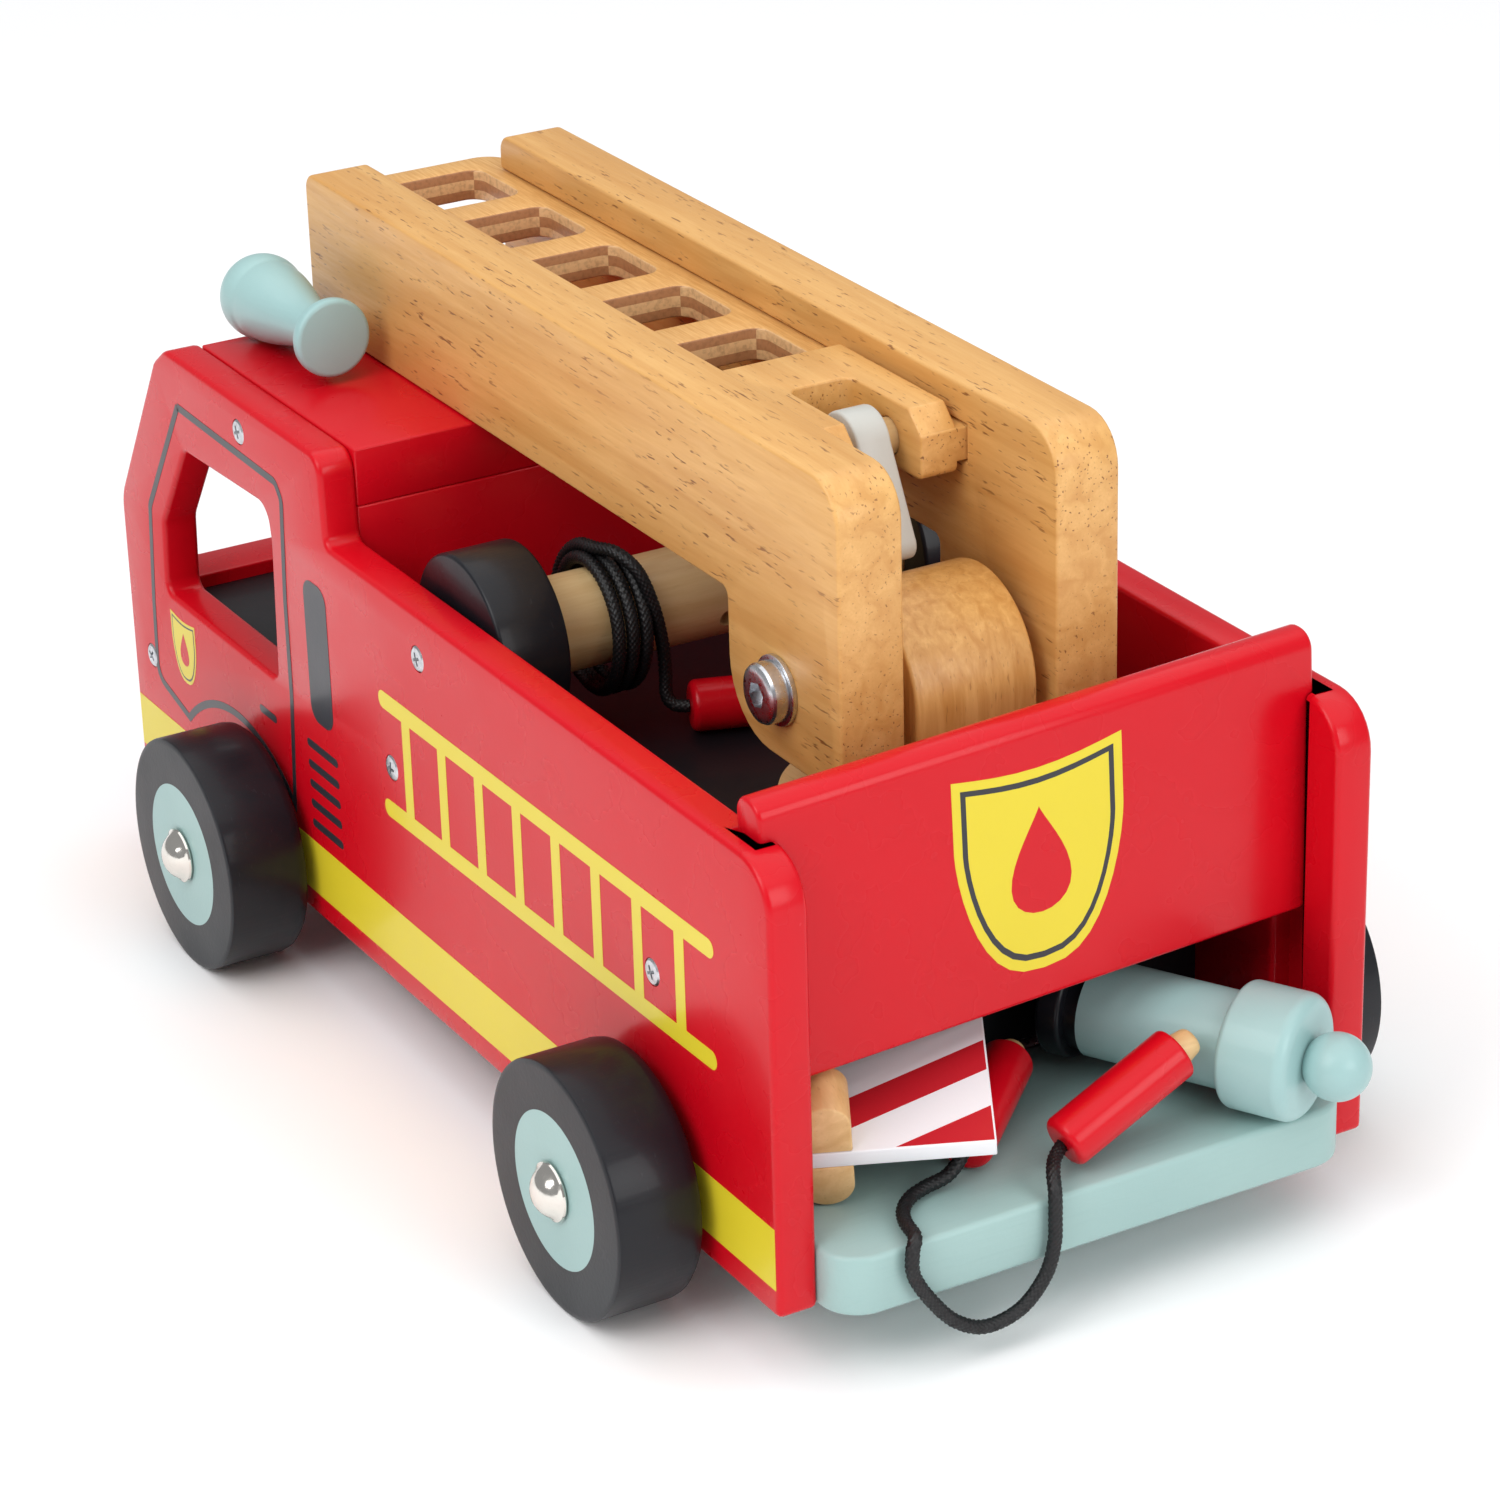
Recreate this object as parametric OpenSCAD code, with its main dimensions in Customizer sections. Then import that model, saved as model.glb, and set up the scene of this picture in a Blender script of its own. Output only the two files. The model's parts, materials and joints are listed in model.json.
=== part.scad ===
// Wooden toy fire engine with a turning, lifting and extending ladder, a hose reel,
// a sliding tailgate and loose toys in the rear compartment.
// X runs forwards, Y to the engine's left and Z up. Lengths are in millimetres.

/* [Body] */
// Length of the side panels
body_l = 312; // [300:1:340]
// Clear width between the side panels
inner_w = 124; // [120:1:134]
// Thickness of the side panels
panel_t = 9; // [8:0.5:10]
// Thickness of the cross boards
board_t = 13.5; // [11:0.5:14]
// Height of the cab roof
roof_z = 135; // [130:1:135]
// Height of the bed walls
bed_wall_z = 114.3; // [108:0.1:116]

/* [Wheels] */
// Wheel radius
wheel_r = 27.75; // [26:0.25:29]
// Wheel width
wheel_w = 20; // [16:0.5:24]
// Axle radius
axle_r = 3; // [2.5:0.25:3.5]
// Play between a wheel and the side panel
wheel_play = 2.6; // [2.4:0.1:4]

/* [Ladder] */
// Thickness of a ladder rail
rail_t = 15; // [13:0.5:16]
// Gap between the ladder rails
rail_gap = 36; // [35:0.5:38]
// Height of the top edge of the ladder rails
rail_top_z = 171.8; // [168:0.2:176]
// Rungs in the sliding ladder, not counting its ends
rungs = 4; // [2:1:4]
// Distance from rung to rung
rung_pitch = 33.5; // [31:0.5:34]

/* [Reel] */
// Radius of the reel's end discs
reel_disc_r = 20.9; // [18:0.1:22]
// Radius of the reel's dowel
reel_dowel_r = 10.8; // [8:0.1:12]

/* [Loose toys] */
// Radius of the hydrant's barrel
hydrant_r = 10.5; // [9:0.1:11]
// Radius of a hose nozzle
nozzle_r = 5.75; // [5:0.05:6]

/* [Hidden] */
$fn = 64;
play = 0.3;                               // gap between pieces that slide or turn past each other
fit = 0.06;                               // radial clearance of a pin in its bore
seat = 0.05;                              // radial clearance of a fastener that doesn't turn
inner_y = inner_w / 2;                    // inner face of a side panel
outer_y = inner_y + panel_t;              // outer face of a side panel
hydrant_reach = 23.2;                     // how far the hydrant's ball stands out behind the body
origin_x = (body_l - hydrant_reach) / 2;  // from the side panels' rear face to the origin

// Heights of the boards
panel_z = 16;                             // bottom of the side panels
deck_z = 16.3;
deck_top_z = 29.7;
bed_z = 78.8;                             // top of the bed floor
bed_under_z = bed_z - board_t;
cab_floor_z = 65.7;
front_panel_z = 68.9;
roof_under_z = roof_z - board_t;

// Places along the body
cab_rear_x = 194.5;
roof_front_x = body_l - 36;
front_panel_x = body_l - 16;
deck_rear_x = -9;
deck_front_x = 47.5;
wall_x = 48.2;                            // compartment's front wall
wall_t = 8;
wall_z = wheel_r + axle_r + 0.4;          // the wall ends just above the rear axle
bed_rear_x = 22;
rear_axle_x = 51;
front_axle_x = 235.5;

// Tailgate and its grooves
gate_x = 11.5;
gate_t = 9;
gate_bottom_z = 62.8;                     // at the middle of the tailgate
gate_h = 62;
gate_tilt = 2.3;                          // the tailgate hangs a little askew, its left end lower
groove_d = 4.5;

// Turntable and ladder
turn_x = 60;
disc_r = 29.5;
disc_z = bed_z + 0.2;
disc_top_z = 91;
block_r = 20.5;
block_c = [58, 117.5];
block_half = 14.4;
bolt = [60, 120.5];
bolt_r = 4;
rail_in = rail_gap / 2;
rail_out = rail_in + rail_t;
rail_z = roof_z + play;
rail_rear_x = 36;
rail_front_x = 276;
leg_front_x = 80.5;
leg_z = 105;
slide_z = 155.5;
slide_t = 7.5;
slide_half = rail_in + 5.5;
slide_front_x = 288;
block_rear_x = 70;
block_front_x = 116;
rung_gap = 23.3;
dowel = [83, 159];
dowel_r = 4;
catch_tip = [69.5, 141];

// Reel
reel = [149, 103.7];
reel_screw_r = 2;
coil_inner_r = reel_dowel_r + 2.4;
coil_r = coil_inner_r + 4;
coil_y = 21;
coil_w = 12;
coil_sag = 0.4;

// Horn, lying with its axis forwards
horn_y = 47.3;
horn_bulb_r = 10.1;
horn_disc_r = 9.2;
horn_l = 35.2;                            // from the disc's inner face to the bulb's centre
horn_bulb = [271.7, horn_y, roof_z + horn_bulb_r + 0.1];
horn_tilt = asin((horn_bulb_r - horn_disc_r) / horn_l);

// Hydrant, lying along its axis
hydrant_ball = [-16, -51.9, 43.9];
hydrant_turn = 28.7;

// Road sign, lying on its foot with its striped face up
sign_corner = [-6.3, 23.9, 42];           // the board's rear right corner, underneath
sign_turn = 61.5;
sign_roll = 2.6;
sign_tilt = -18;
sign_l = 40;
sign_depth = 40;
sign_t = 4.2;
sign_foot_from = 28.5;                    // along the board
sign_foot_to = 39.5;

// Cords
cord_r = 1.5;
nozzle_l = 31;
tip_l = 4.5;
tip_r = 2.8;
hose_a = [-1, 5, 36];                     // cord ends of the three nozzles and the way each points
hose_a_dir = [1, -28.4, 12.6];
hose_b = [8.8, 22, 35.8];
hose_b_dir = [21.3, -24.5, 4.2];
reel_end = [132.4, 14, 84.8];
reel_end_dir = [-0.33, -0.94, 0];
hose_route = [
    hose_a, [-3.5, 8.5, 35.2], [-7.5, 11.5, 34.6], [-10.5, 13, 32], [-11.2, 13.4, 27],
    [-11.2, 13.6, 21], [-11.2, 15.8, 14.2], [-11.2, 21.7, 8.4], [-11.2, 30, 7], [-11.2, 37, 10.5],
    [-11.2, 42.6, 17], [-11.2, 46.6, 24], [-11.2, 46.9, 29.3], [-10.4, 45.8, 31.5], [-8.5, 45, 31.9],
    [-4, 44, 31.8], [0.5, 41.8, 31.7], [4, 38, 31.7], [5.6, 33.4, 31.9], [5.4, 28.6, 33],
    [6.4, 24.9, 34.9], hose_b
];
reel_route = [
    [149, 27, 119.4], [142.5, 25.5, 120.2], [137.5, 23, 117], [135.5, 20.5, 109], [135.5, 18.6, 100],
    [136, 17.8, 92], [135.6, 18, 87.4], [134.2, 16.8, 85.2], reel_end
];
route_steps = 3;                          // rings per stretch of a route
cord_sides = 8;

red = "crimson";
pale = "#a5c8c8";
charcoal = "#2c2d30";
honey = "#d9a766";
bare = "#e0bd86";

// Rounds the corners of an outline. Each point is [x, y, radius], and a radius of 0 stays sharp.
function unit(v) = v / norm(v);
function corner(a, b, c, r, steps = 8) =
    let (
        u = unit(a - b),
        v = unit(c - b),
        half = acos(u * v) / 2,
        centre = b + (r / sin(half)) * unit(u + v),
        first = b + (r / tan(half)) * u - centre,
        last = b + (r / tan(half)) * v - centre,
        start = atan2(first[1], first[0]),
        turn = (atan2(last[1], last[0]) - start + 540) % 360 - 180
    )
    [for (i = [0 : steps]) centre + r * [cos(start + turn * i / steps), sin(start + turn * i / steps)]];
function flat(p) = [p[0], p[1]];
function rounded(pts) =
    let (n = len(pts))
    [for (i = [0 : n - 1])
        each pts[i][2] == 0
            ? [flat(pts[i])]
            : corner(flat(pts[(i + n - 1) % n]), flat(pts[i]), flat(pts[(i + 1) % n]), pts[i][2])];

// Points along a smooth curve through a route, and the tube round them.
function blend(a, b, c, d, t) =
    0.5 * (2 * b + (c - a) * t + (2 * a - 5 * b + 4 * c - d) * t * t
        + (3 * b - a - 3 * c + d) * t * t * t);
function smooth(route) =
    let (last = len(route) - 1)
    [for (i = [0 : last - 1], s = [0 : route_steps - 1])
        blend(route[max(i - 1, 0)], route[i], route[i + 1], route[min(i + 2, last)], s / route_steps),
     route[last]];
function square_to(v, along) = unit(v - along * (v * along));
module tube(route, r) {
    p = smooth(route);
    last = len(p) - 1;
    way = [for (i = [0 : last]) unit(p[min(i + 1, last)] - p[max(i - 1, 0)])];
    side = [for (i = 0, n = square_to([0.3, 0.2, 1], way[0]); i <= last;
        i = i + 1, n = square_to(n, way[min(i, last)])) n];
    rings = [for (i = [0 : last], k = [0 : cord_sides - 1])
        let (a = 360 * k / cord_sides)
        p[i] + r * (cos(a) * side[i] + sin(a) * cross(way[i], side[i]))];
    walls = [for (i = [0 : last - 1], k = [0 : cord_sides - 1])
        let (n = (k + 1) % cord_sides, at = i * cord_sides)
        [at + k, at + cord_sides + k, at + cord_sides + n, at + n]];
    ends = [
        [for (k = [0 : cord_sides - 1]) k],
        [for (k = [cord_sides - 1 : -1 : 0]) last * cord_sides + k]
    ];
    polyhedron(points = rings, faces = concat(walls, ends), convexity = 10);
}

// Frame and basic shapes
module truck() {
    translate([-origin_x, 0, 0]) children();
}
module along_y(x, z, from, to, r) {
    translate([x, from, z]) rotate([-90, 0, 0]) cylinder(h = to - from, r = r);
}
module plate_xz(outline, from, to) {
    translate([0, to, 0]) rotate([90, 0, 0]) linear_extrude(to - from) polygon(outline);
}
module cross_board(from, to, bottom, top) {
    translate([from, -inner_y, bottom]) cube([to - from, inner_w, top - bottom]);
}
module pointing(at, way) {
    turn = atan2(way[1], way[0]);
    tip = acos(way[2] / norm(way));
    translate(at) rotate([0, tip, turn]) children();
}
module both_sides() {
    children();
    mirror([0, 1, 0]) children();
}

// Screws through the side panels: where they go, as [x, z]
screw_r = 1.5;
screw_head_r = 3;
screw_head_t = 1.8;
screw_l = 20;
screws = [
    [237, roof_z - 7.4], [front_panel_x + 4.2, 49.3], [165.4, bed_z - 7.2], [47.6, bed_z - 6.2],
    [36.2, 22.7]
];
module screw_holes() {
    both_sides()
        for (s = screws) {
            along_y(s[0], s[1], outer_y - screw_l - 0.5, outer_y + 1, screw_r + seat);
            along_y(s[0], s[1], outer_y - screw_head_t - 0.1, outer_y + 1, screw_head_r + seat);
        }
}
module panel_screws() {
    color("silver") truck() both_sides()
        for (s = screws) {
            along_y(s[0], s[1], outer_y - screw_l, outer_y - screw_head_t, screw_r);
            along_y(s[0], s[1], outer_y - screw_head_t, outer_y, screw_head_r);
        }
}
reel_screw_l = 17;
module reel_pivot_screws() {
    color("silver") truck() both_sides() {
        along_y(reel[0], reel[1], outer_y - reel_screw_l, outer_y - screw_head_t, reel_screw_r);
        along_y(reel[0], reel[1], outer_y - screw_head_t, outer_y, screw_head_r);
    }
}

// Side panels
panel_outline = rounded([
    [0, panel_z, 1.5], [body_l, panel_z, 1.5], [body_l, 88, 12], [body_l - 27, roof_z - 5, 4],
    [body_l - 34, roof_z, 8], [cab_rear_x, roof_z, 5], [cab_rear_x - 1, bed_wall_z, 2.5],
    [0, bed_wall_z, 11]
]);
window_outline = rounded([
    [body_l - 24.3, 70.5, 3], [body_l - 25.5, 88.9, 5], [body_l - 41.5, 111.9, 3], [224.7, 113.6, 5],
    [223.3, 105.8, 5], [225.2, 70.5, 3]
]);
module side_panel() {
    difference() {
        plate_xz(panel_outline, inner_y, outer_y);
        plate_xz(window_outline, inner_y - 1, outer_y + 1);
        translate([gate_x - play, inner_y - 1, deck_top_z])
            cube([gate_t + 2 * play, groove_d + 1, roof_z]);
        screw_holes();
        along_y(reel[0], reel[1], inner_y - 1, outer_y + 1, reel_screw_r + seat);
        along_y(reel[0], reel[1], outer_y - screw_head_t - 0.1, outer_y + 1, screw_head_r + seat);
        for (x = [rear_axle_x, front_axle_x])
            along_y(x, wheel_r, inner_y - 1, outer_y + 1, axle_r + seat);
    }
}
module left_side_panel() {
    color(red) truck() side_panel();
}
module right_side_panel() {
    color(red) truck() mirror([0, 1, 0]) side_panel();
}

// Cross boards
module cab_roof() {
    color(red) truck() difference() {
        cross_board(cab_rear_x, roof_front_x, roof_under_z, roof_z);
        screw_holes();
        horn_peg_hole();
    }
}
module cab_rear_wall() {
    color(red) truck() cross_board(cab_rear_x, cab_rear_x + board_t, bed_under_z, roof_under_z);
}
module front_panel() {
    color(red) truck() difference() {
        cross_board(front_panel_x, front_panel_x + board_t, panel_z, front_panel_z);
        screw_holes();
    }
}
module cab_floor() {
    color(charcoal) truck()
        cross_board(cab_rear_x + board_t, front_panel_x, cab_floor_z - board_t, cab_floor_z);
}
module lower_deck() {
    color(pale) truck() difference() {
        translate([0, 0, deck_z]) linear_extrude(deck_top_z - deck_z)
            polygon(rounded([
                [deck_rear_x, -inner_y, 9], [deck_front_x, -inner_y, 0], [deck_front_x, inner_y, 0],
                [deck_rear_x, inner_y, 9]
            ]));
        screw_holes();
    }
}
module compartment_wall() {
    color(charcoal) truck()
        cross_board(wall_x, wall_x + wall_t, wall_z, bed_under_z);
}
module bed_floor() {
    color(charcoal) truck() difference() {
        cross_board(bed_rear_x, cab_rear_x, bed_under_z, bed_z);
        screw_holes();
        translate([turn_x, 0, bed_under_z - 1]) {
            cylinder(h = board_t + 2, r = turn_screw_r + seat);
            cylinder(h = turn_head_in + turn_head_t + 1 + seat, r = 2 * turn_screw_r + seat);
        }
    }
}
module tailgate() {
    reach = inner_y + groove_d - play;
    half = (reach - gate_h / 2 * sin(gate_tilt)) / cos(gate_tilt);
    color(red) truck() translate([0, 0, gate_bottom_z + gate_h / 2]) rotate([-gate_tilt, 0, 0])
        plate_xz(rounded([
            [gate_x, -gate_h / 2, 1.2], [gate_x + gate_t, -gate_h / 2, 1.2],
            [gate_x + gate_t, gate_h / 2, 4], [gate_x, gate_h / 2, 4]
        ]), -half, half);
}

// Turntable: a disc on the bed floor, turning on a screw, and the block that holds the ladder
turn_screw_r = 3;
turn_screw_top = disc_top_z - 3;
turn_head_t = 3;
turn_head_in = 0.5;                       // how far the screw's head is sunk in the bed floor
module turntable_disc() {
    color(bare) truck() difference() {
        translate([turn_x, 0, disc_z]) cylinder(h = disc_top_z - disc_z, r = disc_r);
        translate([turn_x, 0, disc_z - 1])
            cylinder(h = turn_screw_top + play - disc_z + 1, r = turn_screw_r + fit);
    }
}
module turntable_screw() {
    bottom = bed_under_z + turn_head_in;
    color("silver") truck() translate([turn_x, 0, bottom]) {
        cylinder(h = turn_screw_top - bottom, r = turn_screw_r);
        cylinder(h = turn_head_t, r = 2 * turn_screw_r);
    }
}
module pivot_block() {
    color(bare) truck() difference() {
        union() {
            along_y(block_c[0], block_c[1], -block_half, block_half, block_r);
            translate([block_c[0] - block_r, -block_half, disc_top_z])
                cube([2 * block_r, 2 * block_half, block_c[1] - disc_top_z]);
        }
        along_y(bolt[0], bolt[1], -block_half - 1, block_half + 1, bolt_r + fit);
    }
}

// Ladder pivot: bolt, nut and washers, which turn with the rails
washer_r = 7.5;
washer_t = 1.2;
bolt_head_r = 6.5;
bolt_head_t = 4.2;
module pivot_bolt() {
    face = rail_out + washer_t;
    hex_r = 2.6;
    hex_depth = 2.5;
    color("silver") truck() difference() {
        union() {
            along_y(bolt[0], bolt[1], -face - bolt_head_t, face, bolt_r);
            along_y(bolt[0], bolt[1], face, face + bolt_head_t, bolt_head_r);
        }
        translate([bolt[0], face + bolt_head_t + 1, bolt[1]]) rotate([90, 0, 0])
            cylinder(h = hex_depth + 1, r = hex_r, $fn = 6);
    }
}
module pivot_bolt_nut() {
    face = rail_out + washer_t;
    color("silver") truck() difference() {
        along_y(bolt[0], bolt[1], -face - bolt_head_t, -face, bolt_head_r);
        along_y(bolt[0], bolt[1], -face - bolt_head_t - 1, -face + 1, bolt_r + seat);
    }
}
module pivot_washers() {
    spacer_play = 0.2;
    color("silver") truck() both_sides() difference() {
        union() {
            along_y(bolt[0], bolt[1], rail_out, rail_out + washer_t, washer_r);
            along_y(bolt[0], bolt[1], block_half + spacer_play, rail_in, washer_r);
        }
        along_y(bolt[0], bolt[1], block_half, rail_out + washer_t + 1, bolt_r + seat);
    }
}

// Ladder rails, with a groove along the inner face for the sliding ladder
rail_outline = rounded([
    [rail_front_x, rail_z, 1.5], [rail_front_x, rail_top_z, 4], [rail_rear_x, rail_top_z, 10],
    [rail_rear_x, leg_z, 3], [leg_front_x, leg_z, 16], [leg_front_x, rail_z, 2]
]);
spacer_bar = [255, rail_z + 8];
spacer_bar_r = 4;
spacer_bar_in = 7.5;                      // how far the bar goes into each rail
module ladder_rail() {
    difference() {
        plate_xz(rail_outline, rail_in, rail_out);
        translate([block_rear_x - play, rail_in - 1, slide_z - play])
            cube([rail_front_x, slide_half - rail_in + 1 + play, slide_t + 2 * play]);
        along_y(bolt[0], bolt[1], rail_in - 1, rail_out + 1, bolt_r + seat);
        along_y(spacer_bar[0], spacer_bar[1], rail_in - 1, rail_in + spacer_bar_in + 0.5,
            spacer_bar_r + seat);
    }
}
module ladder_rail_left() {
    color(honey) truck() ladder_rail();
}
module ladder_rail_right() {
    color(honey) truck() mirror([0, 1, 0]) ladder_rail();
}
module ladder_spacer_bar() {
    reach = rail_in + spacer_bar_in;
    color(bare) truck() along_y(spacer_bar[0], spacer_bar[1], -reach, reach, spacer_bar_r);
}

// Sliding ladder with its rung holes, and the forked block at its tail
module sliding_ladder() {
    rung_half = 14;
    first_hole_x = slide_front_x - 8 - rung_gap;
    color(honey) truck() translate([0, 0, slide_z]) linear_extrude(slide_t) difference() {
        polygon(rounded([
            [block_front_x, -slide_half, 0], [slide_front_x, -slide_half, 7],
            [slide_front_x, slide_half, 7], [block_front_x, slide_half, 0]
        ]));
        for (k = [0 : rungs]) {
            x = first_hole_x - k * rung_pitch;
            polygon(rounded([
                [x, -rung_half, 4], [x + rung_gap, -rung_half, 4], [x + rung_gap, rung_half, 4],
                [x, rung_half, 4]
            ]));
        }
    }
}
module ladder_tail_block() {
    half = rail_in - 1.7;
    bottom = 153;
    top = 167.5;
    notch_half = 7.5;
    notch_x = 98;
    color(honey) truck() difference() {
        union() {
            plate_xz(rounded([
                [block_front_x, bottom, 0], [block_front_x, top, 0], [block_rear_x + 5, top, 1],
                [block_rear_x, top - 5, 1], [block_rear_x, bottom, 2]
            ]), -half, half);
            translate([0, 0, slide_z]) linear_extrude(slide_t)
                polygon(rounded([
                    [block_front_x, -slide_half, 0], [block_front_x, slide_half, 0],
                    [block_rear_x, slide_half, 4], [block_rear_x, -slide_half, 4]
                ]));
        }
        translate([0, 0, bottom - 1]) linear_extrude(top - bottom + 2)
            polygon(rounded([
                [block_rear_x - 1, -notch_half, 0], [notch_x, -notch_half, 3], [notch_x, notch_half, 3],
                [block_rear_x - 1, notch_half, 0]
            ]));
        along_y(dowel[0], dowel[1], -half - 2, half + 2, dowel_r + seat);
    }
}
module catch_dowel() {
    color(bare) truck() along_y(dowel[0], dowel[1], -rail_in + 2, rail_in - 2, dowel_r);
}
module ladder_catch() {
    half = 4;
    eye_r = 7.5;
    toe_r = 3.4;
    across = unit([dowel[1] - catch_tip[1], catch_tip[0] - dowel[0]]);
    color("lightgray") truck() difference() {
        union() {
            along_y(dowel[0], dowel[1], -half, half, eye_r);
            along_y(catch_tip[0], catch_tip[1], -half, half, toe_r);
            plate_xz([
                dowel + eye_r * across, catch_tip + toe_r * across, catch_tip - toe_r * across,
                dowel - eye_r * across
            ], -half, half);
        }
        along_y(dowel[0], dowel[1], -half - 1, half + 1, dowel_r + fit);
    }
}

// Wheels, axles, caps and washers
wheel_in = outer_y + wheel_play;
wheel_out = wheel_in + wheel_w;
cap_r = 6.5;
axle_washer_r = 8;
axle_washer_t = 2;
cap_t = 4.5;
axle_out = 3;                             // how far an axle's end stands out of its wheel
module wheel(x) {
    color(charcoal) truck() translate([x, wheel_in, wheel_r]) rotate([-90, 0, 0])
        rotate_extrude() polygon(rounded([
            [axle_r + fit, 0, 0], [wheel_r, 0, 3], [wheel_r, wheel_w, 1], [axle_r + fit, wheel_w, 0]
        ]));
}
module front_left_wheel() wheel(front_axle_x);
module front_right_wheel() mirror([0, 1, 0]) wheel(front_axle_x);
module rear_left_wheel() wheel(rear_axle_x);
module rear_right_wheel() mirror([0, 1, 0]) wheel(rear_axle_x);
module axle(x) {
    reach = wheel_out + axle_out;
    color("silver") truck() along_y(x, wheel_r, -reach, reach, axle_r);
}
module front_axle() axle(front_axle_x);
module rear_axle() axle(rear_axle_x);
module axle_caps() {
    dome_r = (cap_r * cap_r + cap_t * cap_t) / (2 * cap_t);
    color("silver") truck() both_sides()
        for (x = [rear_axle_x, front_axle_x])
            translate([x, wheel_out + play, wheel_r]) rotate([-90, 0, 0]) difference() {
                intersection() {
                    translate([0, 0, cap_t - dome_r]) sphere(r = dome_r);
                    cylinder(h = cap_t + 1, r = cap_r);
                }
                translate([0, 0, -1]) cylinder(h = 1 + axle_out - play, r = axle_r + seat);
            }
}
module wheel_washers() {
    color("silver") truck() both_sides()
        for (x = [rear_axle_x, front_axle_x])
            difference() {
                along_y(x, wheel_r, outer_y, outer_y + axle_washer_t, axle_washer_r);
                along_y(x, wheel_r, outer_y - 1, outer_y + axle_washer_t + 1, axle_r + seat);
            }
}

// Hose reel between the side panels
reel_disc_t = 16.2;
reel_play = 1.3;
disc_in_y = inner_y - reel_play - reel_disc_t;
socket_d = 5.5;
module reel_disc() {
    difference() {
        along_y(reel[0], reel[1], disc_in_y, disc_in_y + reel_disc_t, reel_disc_r);
        along_y(reel[0], reel[1], disc_in_y - 1, disc_in_y + socket_d, reel_dowel_r + seat);
        along_y(reel[0], reel[1], disc_in_y, inner_y, reel_screw_r + fit);
    }
}
module reel_disc_left() {
    color(charcoal) truck() reel_disc();
}
module reel_disc_right() {
    color(charcoal) truck() mirror([0, 1, 0]) reel_disc();
}
module reel_dowel() {
    hole_r = 2.2;
    hole_tilt = 70;
    color(bare) truck() difference() {
        along_y(reel[0], reel[1], -disc_in_y - socket_d, disc_in_y + socket_d, reel_dowel_r);
        translate([reel[0], 0, reel[1]]) rotate([0, hole_tilt, 0])
            cylinder(h = 3 * reel_dowel_r, r = hole_r, center = true);
    }
}
module reel_cord_coil() {
    color("black") truck() translate([reel[0], coil_y, reel[1] - coil_sag]) rotate([-90, 0, 0])
        rotate_extrude() translate([coil_inner_r, 0]) square([coil_r - coil_inner_r, coil_w]);
}
module reel_cord() {
    color("black") truck() tube(reel_route, cord_r);
}

// Nozzles: a red body, and a bare wooden tip at the far end
module nozzle_body(at, way) {
    color(red) truck() pointing(at, way) rotate_extrude()
        polygon(rounded([[0, 0, 0], [nozzle_r, 0, 1.6], [nozzle_r, nozzle_l, 1], [0, nozzle_l, 0]]));
}
module nozzle_tip(at, way) {
    color(bare) truck() pointing(at, way) translate([0, 0, nozzle_l]) rotate_extrude()
        polygon(rounded([[0, 0, 0], [tip_r + 0.8, 0, 0], [tip_r, tip_l, 1.5], [0, tip_l, 0]]));
}
module reel_nozzle() nozzle_body(reel_end, reel_end_dir);
module reel_nozzle_tip() nozzle_tip(reel_end, reel_end_dir);
module hose_nozzle_a() nozzle_body(hose_a, hose_a_dir);
module hose_nozzle_a_tip() nozzle_tip(hose_a, hose_a_dir);
module hose_nozzle_b() nozzle_body(hose_b, hose_b_dir);
module hose_nozzle_b_tip() nozzle_tip(hose_b, hose_b_dir);
module hose_cord() {
    color("black") truck() tube(hose_route, cord_r);
}

// Horn on the cab roof: a disc, a waist and a bulb
peg_r = 2;
peg_in = 7.5;                             // how far the peg goes into the roof and into the horn
module horn() {
    disc_t = 3.2;
    waist_r = 5.2;
    flare_l = 5;
    swell_l = 26;
    neck_steps = 16;
    function ease(t) = t * t * (3 - 2 * t);
    function neck_r(z) =
        z < flare_l
            ? horn_disc_r - 0.8 + (waist_r - horn_disc_r + 0.8) * ease(z / flare_l)
            : waist_r + (horn_bulb_r * 0.94 - waist_r) * ease((z - flare_l) / swell_l);
    from = -horn_l;
    bulb_joint = -horn_bulb_r * sqrt(1 - 0.94 * 0.94);
    neck = [for (k = [0 : neck_steps])
        let (z = (flare_l + swell_l) * k / neck_steps)
        [neck_r(z), from + z * (bulb_joint - from) / (flare_l + swell_l)]];
    color(pale) truck() difference() {
        translate(horn_bulb) rotate([0, 90 + horn_tilt, 0]) union() {
            rotate_extrude() polygon(concat(
                rounded([
                    [0, from - disc_t, 0], [horn_disc_r, from - disc_t, 1.2], [horn_disc_r, from, 1],
                    [neck_r(0) - 0.2, from, 0]
                ]),
                neck, [[0, bulb_joint]]
            ));
            sphere(r = horn_bulb_r);
        }
        horn_peg_hole();
    }
}
module horn_peg() {
    color(bare) truck() translate([horn_bulb[0], horn_y, roof_z - peg_in])
        cylinder(h = 2 * peg_in, r = peg_r);
}
module horn_peg_hole() {
    end_play = 0.5;
    translate([horn_bulb[0], horn_y, roof_z - peg_in - end_play])
        cylinder(h = 2 * (peg_in + end_play), r = peg_r + seat);
}

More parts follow.
